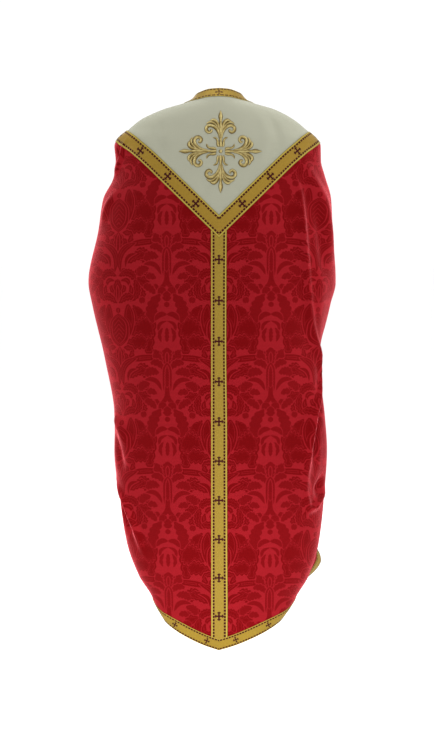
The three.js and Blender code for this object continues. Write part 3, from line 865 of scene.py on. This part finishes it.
def damask_tones(x, y):
    """The damask's tone: 0 is the bare ground and 1 the darkest figure."""
    from_flower = x.apply("PINGPONG", HALF_REPEAT)
    place = from_flower, y.apply("WRAP", FLOWER_TOP, FLOWER_TOP - REPEAT)
    first, *rows = rows_of(POMEGRANATE)
    flower = leaf(place, **first)
    for row in rows:
        flower = laid_over(flower, leaf(place, **row))
    # The lattice inside the bud.
    lattice = ((place[0] + place[1]) * 0.3).apply("SINE").apply("ABSOLUTE")
    bud = leaf(place, 0, 10, 90, 56, 34)
    cut = bud.apply("MINIMUM", lattice.apply("MULTIPLY_ADD", -4.0, 1.2))
    flower = flower.apply("MINIMUM", -cut)
    place = HALF_REPEAT - from_flower, y.apply("WRAP", BELL_TOP, BELL_TOP - REPEAT)
    first, *rows = rows_of(BELL)
    bell = leaf(place, **first)
    flower = flower.apply("MINIMUM", bell.apply("MULTIPLY_ADD", -1.0, -OUTLINE))
    for row in rows:
        shape = leaf(place, **row)
        flower = flower.apply("MINIMUM", shape.apply("MULTIPLY_ADD", -1.0, -OUTLINE))
        bell = laid_over(bell, shape)
    figure = smooth_step(flower, -0.8, 0.4).apply("MAXIMUM", smooth_step(bell, -0.8, 0.4) * 0.85)
    # A fine line inside each of the larger shapes.
    return figure - band(flower, 4.2, 5.6, 0.4) * 0.65


def twill(shader, x, y, pitch, slant):
    """Slanting ribs of a weave, from 0 to 1."""
    return ((x + y * slant) * (2 * math.pi / pitch)).apply("SINE") * 0.5 + 0.5


def damask(colours):
    shader = Shader("damask", **{
        "Metallic": 0.12,
        "Specular IOR Level": 0.0,
        "Specular Tint": colour(colours.sheen),
        "Sheen Weight": 1.0,
        "Sheen Roughness": 0.38,
        "Sheen Tint": colour(colours.sheen),
    })
    x, y = shader.cloth_uv()
    tone = damask_tones(x, (y - FLOWER_HEIGHT) / DRAWN_OUT)
    slub = shader.noise(shader.point(x * 0.012, y * 0.25), 1.0, detail=4.0)
    patch = shader.noise(shader.place(), 3.0)
    tint = shader.mix(tone, colour(colours.ground), colour(colours.figure))
    uneven = (slub - 0.5) * 0.22 + (patch - 0.5) * 0.25 + 1.0
    tint = shader.scaled(tint, uneven)
    ribs = twill(shader, x, y, 1.1, 0.5)
    rough = tone * 0.16 + 0.42 + (slub - 0.5) * 0.1
    bump = shader.bump(ribs, 0.0002, 0.5)
    return shader.finish(Base_Color=tint, Roughness=rough, Normal=bump)


def wrong_side(colours):
    shader = Shader("wrong side of the damask", **{
        "Specular IOR Level": 0.2,
        "Specular Tint": colour(colours.sheen),
    })
    x, y = shader.cloth_uv()
    slub = shader.noise(shader.point(x * 0.02, y * 0.3), 1.0, detail=4.0)
    tint = shader.scaled(shader.tint(colours.wrong_side), (slub - 0.5) * 0.3 + 1.0)
    rough = (slub - 0.5) * 0.2 + 0.7
    return shader.finish(Base_Color=tint, Roughness=rough)


def ivory(colours):
    shader = Shader("ivory cloth", **{
        "Specular IOR Level": 0.2,
        "Sheen Weight": 0.1,
        "Sheen Roughness": 0.4,
    })
    x, y = shader.cloth_uv()
    threads = twill(shader, x, y, 0.9, 0.0) + twill(shader, y, x, 0.9, 0.0)
    slub = shader.noise(shader.point(x * 0.04, y * 0.4), 1.0, detail=4.0)
    patch = shader.noise(shader.place(), 6.0, detail=3.0)
    uneven = (slub - 0.5) * 0.08 + (patch - 0.5) * 0.06 + 1.0
    tint = shader.scaled(shader.tint(colours.ivory), uneven)
    rough = (slub - 0.5) * 0.2 + 0.75
    bump = shader.bump(threads * 0.5 + slub * 0.4 + patch * 0.8, 0.0006, 0.5)
    return shader.finish(Base_Color=tint, Roughness=rough, Normal=bump)


# The galloon's stripes as shares of its half width, from the middle out: where its dashes start
# and end, and where its pale border starts and ends. Then the dashes from one cross to the next.
WIDE_STRIPES = (0.55, 0.79, 0.8, 0.94)
NARROW_STRIPES = (0.62, 0.88, 0.97, 0.98)
DASHES = 12


def galloon(name, colours, width, stripes, field):
    shader = Shader(name, **{
        "Metallic": 0.25,
        "Specular IOR Level": 0.25,
        "Specular Tint": colour(colours.border),
    })
    x, y = shader.cloth_uv()
    side = y.apply("ABSOLUTE")
    dash_from, dash_to, line_to, border_to = (share * width / 2 for share in stripes)
    dashes = band(side, dash_from, dash_to)
    there = (x * (2 * math.pi * DASHES / CROSS_REPEAT)).apply("SINE")
    dashes = dashes * smooth_step(there, -0.72, -0.52)
    ribs = twill(shader, x, y, 1.6, 1.0)
    slub = shader.noise(shader.point(x * 0.15, y * 0.6), 1.0, detail=4.0)
    # The field tint passed in carries painted shade on the V and the hem, and painted light on the
    # column.
    tint = shader.scaled(shader.tint(field), ribs * 0.22 + (slub - 0.5) * 0.5 + 0.89)
    tint = shader.mix(smooth_step(side, dash_to, line_to), tint, colour(colours.border))
    tint = shader.mix(smooth_step(side, border_to, border_to + 0.6), tint, colour(colours.edge))
    cross = woven_cross(shader, x, side, width)
    marks = dashes.apply("MAXIMUM", cross)
    tint = shader.mix(marks, tint, colour(colours.maroon))
    rough = marks * 0.25 + ribs * 0.1 + 0.4
    bump = shader.bump(ribs * 0.5 + marks * 0.5 + slub * 0.3, 0.0004, 0.7)
    return shader.finish(Base_Color=tint, Roughness=rough, Normal=bump)


def band(value, low, high, soft=0.25):
    """1 between low and high, and 0 outside."""
    middle, half = (low + high) / 2, (high - low) / 2
    return smooth_step((value - middle).apply("ABSOLUTE") * -1.0, -half - soft, -half + soft)


def woven_cross(shader, x, side, width):
    """The woven crosses of the galloon, with forked ends."""
    along = x.apply("PINGPONG", CROSS_REPEAT / 2)
    size = width / WIDE_TAPE
    bar_along = band(along, -11.5 * size, 11.5 * size) * band(side, -2 * size, 2 * size)
    bar_across = band(side, -10.5 * size, 10.5 * size) * band(along, -2 * size, 2 * size)
    cap_along = band(along, 7.5 * size, 10 * size) * band(side, -4.2 * size, 4.2 * size)
    cap_across = band(side, 6.5 * size, 9 * size) * band(along, -4.2 * size, 4.2 * size)
    cross = bar_along.apply("MAXIMUM", bar_across)
    return cross.apply("MAXIMUM", cap_along).apply("MAXIMUM", cap_across)


def gold_thread(colours):
    shader = Shader("gold thread", **{
        "Metallic": 0.5,
        "Specular IOR Level": 0.5,
        "Specular Tint": colour(colours.border),
    })
    x, y = shader.cloth_uv()
    threads = twill(shader, x, y, 0.8, 0.7)
    slub = shader.noise(shader.point(x * 0.5, y * 0.1), 1.0, detail=4.0)
    # Painted shade: each stroke darkens from one side to the other, and is painted dark at its edges.
    # The noise only moves where that painted shade starts along each stroke.
    turned = shader.noise(shader.point(x * 0.06, y * 0.2), 1.0, detail=2.0)
    shade = smooth_step(y + (turned - 0.5) * 2.4, -0.5, 0.7)
    side = smooth_step(y.apply("ABSOLUTE"), 0.5, 0.95)
    tint = shader.mix(shade, colour(colours.thread), colour(colours.thread_shade))
    tint = shader.mix(side, tint, colour(colours.thread_edge_shade))
    tint = shader.scaled(tint, threads * 0.3 + (slub - 0.5) * 0.7 + 0.85)
    rough = threads * 0.15 + 0.32
    bump = shader.bump(threads, 0.0003, 0.8)
    return shader.finish(Base_Color=tint, Roughness=rough, Normal=bump)


class ChasubleSizes(bpy.types.PropertyGroup):
    cloth_thickness: bpy.props.FloatProperty(
        name="Cloth thickness",
        description="Thickness of the damask and ivory cloth",
        default=0.0016,
        unit="LENGTH",
    )
    tape_thickness: bpy.props.FloatProperty(
        name="Tape thickness",
        description="Thickness of the galloon",
        default=0.001,
        unit="LENGTH",
    )


def colour_property(name, description, default):
    return bpy.props.FloatVectorProperty(
        name=name, description=description, subtype="COLOR", default=default
    )


class ChasubleColours(bpy.types.PropertyGroup):
    figure: colour_property(
        "Damask figure", "The darker red of the damask's flowers and leaves", (0.126, 0.0019, 0.0027)
    )
    ground: colour_property(
        "Damask ground", "The lighter red between the damask's flowers", (0.214, 0.007, 0.0106)
    )
    sheen: colour_property(
        "Damask sheen", "The tint of the damask's shine", (1.0, 0.18, 0.21)
    )
    wrong_side: colour_property(
        "Wrong side", "The inside of the damask", (0.172, 0.0043, 0.00688)
    )
    ivory: colour_property(
        "Ivory", "The cloth of the yoke", (0.2995, 0.2995, 0.2278)
    )
    # Shaded and lit copies of one galloon: the V's field is painted darker as shade, the column's
    # lighter as lit.
    gold: colour_property(
        "V galloon", "The field of the V's galloon", (0.237, 0.146, 0.0224)
    )
    lit_column_gold: colour_property(
        "Column galloon", "The field of the column's galloon", (0.243, 0.161, 0.0265)
    )
    # Partly the narrow galloon's own gold, partly darkened as painted shade where the hem turns away.
    narrow_gold_with_hem_shade: colour_property(
        "Narrow galloon", "The field of the neck's and the hem's galloon", (0.232, 0.15, 0.0215)
    )
    border: colour_property(
        "Galloon border", "The pale threads along the galloon of the V in painted shade's edges", (0.33, 0.25, 0.045)
    )
    edge: colour_property(
        "Galloon edge", "The darkest gold of the galloon's edges", (0.129, 0.0903, 0.0172)
    )
    maroon: colour_property(
        "Galloon maroon", "The dashes and crosses of the galloon", (0.035, 0.003, 0.007)
    )
    thread: colour_property(
        "Gold thread", "The satin stitch of the embroidered cross", (0.42, 0.345, 0.15)
    )
    thread_edge_shade: colour_property(
        "Gold thread's edge", "The shaded edges of the satin stitch", (0.09, 0.06, 0.016)
    )
    thread_shade: colour_property(
        "Thread in shade", "The gold thread on the shaded side of a stroke", (0.15, 0.1, 0.028)
    )


def settle(piece, node):
    """Puts a piece under the root body and hides the solid that it stands for."""
    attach(piece, "root")
    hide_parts(node)


class CHASUBLE_OT_body(bpy.types.Operator):
    """Make the damask of the back and the front"""

    bl_idname = "chasuble.body"
    bl_label = "Damask body"

    def execute(self, context):
        sizes, colours = context.scene.chasuble_sizes, context.scene.chasuble_colours
        materials = [damask(colours), wrong_side(colours)]
        for name, is_back in (("back", True), ("front", False)):
            places = whole_width(lambda sign: panel_quarter(is_back, sign))
            piece = cloth_piece(f"damask_{name}", places, sizes.cloth_thickness / MM, materials)
            settle(piece, f"{name}_panel")
        return {"FINISHED"}


class CHASUBLE_OT_yoke(bpy.types.Operator):
    """Make the ivory yoke that fills the V at the back and the front"""

    bl_idname = "chasuble.yoke"
    bl_label = "Ivory yoke"

    def execute(self, context):
        sizes, colours = context.scene.chasuble_sizes, context.scene.chasuble_colours
        material = ivory(colours)
        for name, is_back in (("back", True), ("front", False)):
            places = whole_width(lambda sign: yoke_quarter(is_back, sign))
            piece = cloth_piece(f"ivory_{name}", places, sizes.cloth_thickness / MM, [material] * 2)
            settle(piece, f"{name}_yoke")
        return {"FINISHED"}


class CHASUBLE_OT_tapes(bpy.types.Operator):
    """Make the galloon of the column, the V, the neck and the hem"""

    bl_idname = "chasuble.tapes"
    bl_label = "Galloon"

    def execute(self, context):
        sizes, colours = context.scene.chasuble_sizes, context.scene.chasuble_colours
        thickness = sizes.tape_thickness / MM
        # Painted shade and light: the V's and the column's fields are shaded and lit copies of one
        # galloon.
        wide = galloon("galloon of the V in painted shade", colours, WIDE_TAPE, WIDE_STRIPES, colours.gold)
        column = galloon("galloon of the column in painted light", colours, WIDE_TAPE, WIDE_STRIPES, colours.lit_column_gold)
        # The narrow field is partly painted shade, darkened for the hem.
        narrow = galloon("narrow galloon", colours, NARROW_TAPE, NARROW_STRIPES, colours.narrow_gold_with_hem_shade)
        made = [
            (column_tape(thickness, column), "column_tape", WIDE_TAPE),
            (neck_tape(thickness, narrow), "neck_tape", NARROW_TAPE),
        ]
        for side, sign in (("left", 1), ("right", -1)):
            made.append((v_tape(side, sign, thickness, wide), f"v_tape_{side}", WIDE_TAPE))
            made.append((hem_tape(side, sign, thickness, narrow), f"hem_tape_{side}", NARROW_TAPE))
        for piece, node, width in made:
            settle(piece, node)
        return {"FINISHED"}


def column_tape(thickness, material):
    """The straight tape down the middle of the back, cut to fit the V above and the hem below."""
    top = V_BACK_APEX - WIDE_TAPE / 2 * math.hypot(1, V_SLOPE)
    bottom = HEM[0][1] + NARROW_TAPE + 2
    down = np.linspace(0, 1, 300)[:, None]
    reach = tape_shares() * WIDE_TAPE
    level = (1 - down) * (top + V_SLOPE * np.abs(reach)) + down * (bottom + 0.12 * np.abs(reach))
    u = reach / (2 * level_length(0.0, level))
    s = WEAVE.read(0.0, COLUMN_CROSS)[1] - WEAVE.read(np.zeros_like(level), level)[..., 1]
    return tape_piece("galloon_column", u, level, with_across(s, WIDE_TAPE), thickness, material)


def eased(share):
    """A share from 0 to 1, with a soft start and end."""
    share = np.clip(share, 0, 1)
    return share * share * (3 - 2 * share)


# Near a mitre a tape's places turn to run straight down their columns: from this |u| on along the
# neck, and over this length in millimetres along the hem.
NECK_MITRE_FROM = 0.92
HEM_MITRE = 120


def neck_tape(thickness, material):
    u = np.linspace(-1, 1, 401)
    z = NECK.read("z", np.abs(u))
    columns_only = eased((np.abs(u) - NECK_MITRE_FROM) / (1 - NECK_MITRE_FROM))
    grid_u, grid_z, s = line_tape(u, z, NARROW_TAPE, 1, columns_only, centre_share=-0.5)
    uv = with_across(s - s[len(s) // 2], NARROW_TAPE)
    return tape_piece("galloon_neck", grid_u, grid_z, uv, thickness, material)


def v_tape(side, sign, thickness, material):
    u, z = v_line(sign, 160)
    grid_u, grid_z, s = line_tape(u, z, WIDE_TAPE, sign, np.ones_like(u))
    uv = with_across((s - V_CROSS) * (CROSS_REPEAT / V_REPEAT), WIDE_TAPE)
    return tape_piece(f"galloon_v_{side}", grid_u, grid_z, uv, thickness, material)


def hem_tape(side, sign, thickness, material):
    hem = Hem(sign)
    whole = hem.lengths[-1]
    lengths = np.linspace(0, whole, 700)
    u, z = hem.places(lengths)
    columns_only = eased(1 - np.minimum(lengths, whole - lengths) / HEM_MITRE)
    grid_u, grid_z, s = line_tape(u, z, NARROW_TAPE, sign, columns_only, centre_share=0.5)
    uv = with_across((s - HEM_CROSS[side]) * (CROSS_REPEAT / HEM_REPEAT), NARROW_TAPE)
    return tape_piece(f"galloon_hem_{side}", grid_u, grid_z, uv, thickness, material)


# The embroidered cross: where its middle lies, and one arm's stitched strokes. Each stroke is a
# row of places (out along the arm, to one side of it, width), in millimetres.
CROSS_LEVEL = -131
CROSS_SIDE = -4
MIDDLE_LEAF = [
    (10.5, 0, 7),
    (16, 0, 8.5),
    (30, 0, 6.5),
    (46, 0, 7),
    (62, 0, 8),
    (74, 0, 6.5),
    (84, 0, 11),
    (91, 0, 9),
    (101, 0, 1),
]
SCROLL = [
    (32, 2.5, 4),
    (44, 4.5, 6.5),
    (55, 10, 8.5),
    (62, 19, 9),
    (63, 28, 9),
    (58, 34, 9),
    (51, 34, 8.5),
    (46.5, 28.5, 8),
    (49, 22.5, 6.5),
    (54, 23, 4),
]
OUTER_LOBE = [
    (42, 2, 3),
    (58, 4.5, 6.5),
    (71, 9, 8),
    (77, 17, 8),
    (73.5, 26, 3),
]
INNER_LOBE = [
    (46, 3, 3),
    (60, 8.5, 5),
    (69, 17, 6.5),
    (71.5, 26, 6),
    (67.5, 34, 2.5),
]
SPRIG = [
    (11, 5, 5.5),
    (17, 7, 7),
    (24, 7.5, 5.5),
    (29.5, 9.5, 5),
    (32.5, 13.5, 4.5),
    (33.5, 18, 1.5),
]
BOSS = [
    (-5, 0, 1),
    (-3, 0, 7.5),
    (0, 0, 9.5),
    (3, 0, 7.5),
    (5, 0, 1),
]


def flowing(points, steps=9):
    """A smooth line through rows of numbers."""
    points = np.array(points, dtype=float)
    ends = 2 * points[0] - points[1], 2 * points[-1] - points[-2]
    padded = np.vstack([ends[0], points, ends[1]])
    t = np.linspace(0, 1, steps, endpoint=False)[:, None]
    pieces = []
    for a, b, c, d in zip(padded, padded[1:], padded[2:], padded[3:]):
        leave, arrive = (c - a) / 2, (d - b) / 2
        straight = b + (c - b) * t * t * (3 - 2 * t)
        pieces.append(straight + leave * t * (1 - t) ** 2 - arrive * t * t * (1 - t))
    return np.vstack([*pieces, points[-1:]])


class Stitching:
    """Satin stitch on the cloth, gathered into one mesh."""

    ACROSS = 9

    def __init__(self):
        levels = np.linspace(-320, 0, 321)
        line = cloth_point(np.zeros_like(levels), levels)
        self.levels = levels
        self.lengths = lengths_along(line)
        self.middle = np.interp(CROSS_LEVEL, levels, self.lengths)
        self.vertices, self.faces, self.uv = [], [], []
        self.count = 0

    def on_cloth(self, across, up):
        z = np.interp(self.middle + up, self.lengths, self.levels)
        return across / (2 * level_length(0.0, z)), z

    def stroke(self, row, turn, height=1.7):
        line = flowing(row)
        place, width = line[:, :2], np.maximum(line[:, 2], 0.3)
        run = np.gradient(place, axis=0)
        run /= np.linalg.norm(run, axis=1, keepdims=True)
        left = np.stack([-run[:, 1], run[:, 0]], axis=1)
        share = np.linspace(-1, 1, self.ACROSS)
        flat = place[:, None] + left[:, None] * (share[None, :] * width[:, None] / 2)[..., None]
        cosine, sine = math.cos(turn), math.sin(turn)
        up = flat[..., 0] * cosine - flat[..., 1] * sine
        across = flat[..., 0] * sine + flat[..., 1] * cosine
        u, z = self.on_cloth(CROSS_SIDE + across, up)
        dome = np.sqrt(np.clip(1 - share * share, 0, 1))[None, :]
        tall = 0.9 + height * dome * np.clip(width[:, None] / 6, 0.35, 1.1)
        vertices, faces, _ = shell(cloth_point(u, z), outwards(u, z), 0.5, tall)
        s = np.broadcast_to(lengths_along(place)[:, None], u.shape)
        uv = np.stack([s, np.broadcast_to(share, u.shape)], axis=-1).reshape(-1, 2)
        self.vertices.append(vertices)
        self.faces.append(faces + self.count)
        self.uv.append(np.tile(uv, (2, 1)))
        self.count += len(vertices)

    def piece(self, name, material):
        vertices, faces, uv = (np.concatenate(rows) for rows in (self.vertices, self.faces, self.uv))
        return add_object(name, vertices, faces, uv, [material])


def mirrored(row):
    return [(out, -side, width) for out, side, width in row]


class CHASUBLE_OT_cross(bpy.types.Operator):
    """Embroider the cross on the back of the yoke"""

    bl_idname = "chasuble.cross"
    bl_label = "Embroidered cross"

    def execute(self, context):
        stitching = Stitching()
        for quarter_turn in range(4):
            turn = quarter_turn * math.pi / 2
            for row in (INNER_LOBE, OUTER_LOBE, SCROLL, SPRIG):
                stitching.stroke(row, turn)
                stitching.stroke(mirrored(row), turn)
            stitching.stroke(MIDDLE_LEAF, turn, height=2.1)
        stitching.stroke(BOSS, 0, height=1.9)
        piece = stitching.piece("embroidered_cross", gold_thread(context.scene.chasuble_colours))
        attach(piece, "root")
        arms = (f"cross_arm_{side}" for side in ("top", "left", "bottom", "right"))
        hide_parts("cross_boss", *arms)
        return {"FINISHED"}


# The stage, in metres: the floor, the broad lamps (name, place, size and watts) with the point
# they are aimed at, the lamp low behind with its watts and spread in degrees, and the camera, with
# how far it looks down in degrees and its lens.
FLOOR_LEVEL = -1.572
SURROUND = 1.06
LAMPS = (
    ("top", (0.0, -0.2, 2.4), 2.0, 60),
    ("front", (0.6, -4.2, 0.4), 2.0, 45),
    ("side", (-2.8, 2.9, 0.3), 0.8, 32),
    ("left rim", (3.0, -0.9, -0.6), 1.0, 34),
    ("right rim", (-3.0, -0.3, -0.6), 1.0, 22),
)
LAMP_AIM = (0, 0, -0.6)
LOW_LAMP = (0.9, 4.6, -0.9)
LOW_LAMP_AIM = (0, 0.05, -1.55)
LOW_LAMP_WATTS = 800
LOW_LAMP_SPREAD = 23
CAMERA_PLACE = (0.0048, 4.52, -0.322)
CAMERA_DIP = 4.52
CAMERA_LENS = 87.46


def place_lamp(light, place, aim):
    lamp = bpy.data.objects.new(light.name, light)
    bpy.context.scene.collection.objects.link(lamp)
    lamp.location = place
    lamp.rotation_euler = (Vector(aim) - lamp.location).to_track_quat("-Z", "Y").to_euler()


class CHASUBLE_OT_stage(bpy.types.Operator):
    """Make the floor, the lights and the camera"""

    bl_idname = "chasuble.stage"
    bl_label = "Stage"

    def execute(self, context):
        bpy.ops.mesh.primitive_circle_add(
            vertices=96, radius=60, fill_type="NGON", location=(0, 0, FLOOR_LEVEL)
        )
        floor = context.object
        floor.name = "studio_floor"
        shader = Shader("studio floor", **{"Base Color": (0.95, 0.95, 0.95, 1), "Roughness": 0.8})
        floor.data.materials.append(shader.material)

        world = bpy.data.worlds.new("studio")
        context.scene.world = world
        world.use_nodes = True
        world.node_tree.nodes["Background"].inputs[0].default_value = (1, 1, 1, 1)
        world.node_tree.nodes["Background"].inputs[1].default_value = SURROUND

        for name, place, size, power in LAMPS:
            light = bpy.data.lights.new(name, "AREA")
            light.energy = power
            light.size = size
            place_lamp(light, place, LAMP_AIM)
        low = bpy.data.lights.new("low", "SPOT")
        low.energy = LOW_LAMP_WATTS
        low.shadow_soft_size = 0.35
        low.spot_size = math.radians(LOW_LAMP_SPREAD)
        low.spot_blend = 1.0
        place_lamp(low, LOW_LAMP, LOW_LAMP_AIM)

        camera = bpy.data.cameras.new("camera")
        camera.sensor_width = 36
        camera.lens = CAMERA_LENS
        holder = bpy.data.objects.new("camera", camera)
        context.scene.collection.objects.link(holder)
        holder.location = CAMERA_PLACE
        holder.rotation_euler = (math.radians(90 - CAMERA_DIP), 0, math.pi)
        context.scene.camera = holder
        context.scene.view_settings.view_transform = "Standard"
        return {"FINISHED"}


class CHASUBLE_PT_pieces(bpy.types.Panel):
    """The pieces of the chasuble, in the 3D view's sidebar"""

    bl_idname = "CHASUBLE_PT_pieces"
    bl_label = "Conical chasuble"
    bl_space_type = "VIEW_3D"
    bl_region_type = "UI"
    bl_category = "Chasuble"

    def draw(self, context):
        for operator in OPERATORS:
            self.layout.operator(operator.bl_idname)


OPERATORS = (
    CHASUBLE_OT_stage,
    CHASUBLE_OT_body,
    CHASUBLE_OT_yoke,
    CHASUBLE_OT_tapes,
    CHASUBLE_OT_cross,
)
CLASSES = (ChasubleSizes, ChasubleColours, *OPERATORS, CHASUBLE_PT_pieces)


def register():
    for cls in CLASSES:
        bpy.utils.register_class(cls)
    bpy.types.Scene.chasuble_sizes = bpy.props.PointerProperty(type=ChasubleSizes)
    bpy.types.Scene.chasuble_colours = bpy.props.PointerProperty(type=ChasubleColours)


def unregister():
    del bpy.types.Scene.chasuble_colours
    del bpy.types.Scene.chasuble_sizes
    for cls in reversed(CLASSES):
        bpy.utils.unregister_class(cls)


def main():
    register()
    bpy.ops.chasuble.stage()
    bpy.ops.chasuble.body()
    bpy.ops.chasuble.yoke()
    bpy.ops.chasuble.tapes()
    bpy.ops.chasuble.cross()


if __name__ == "__main__":
    main()
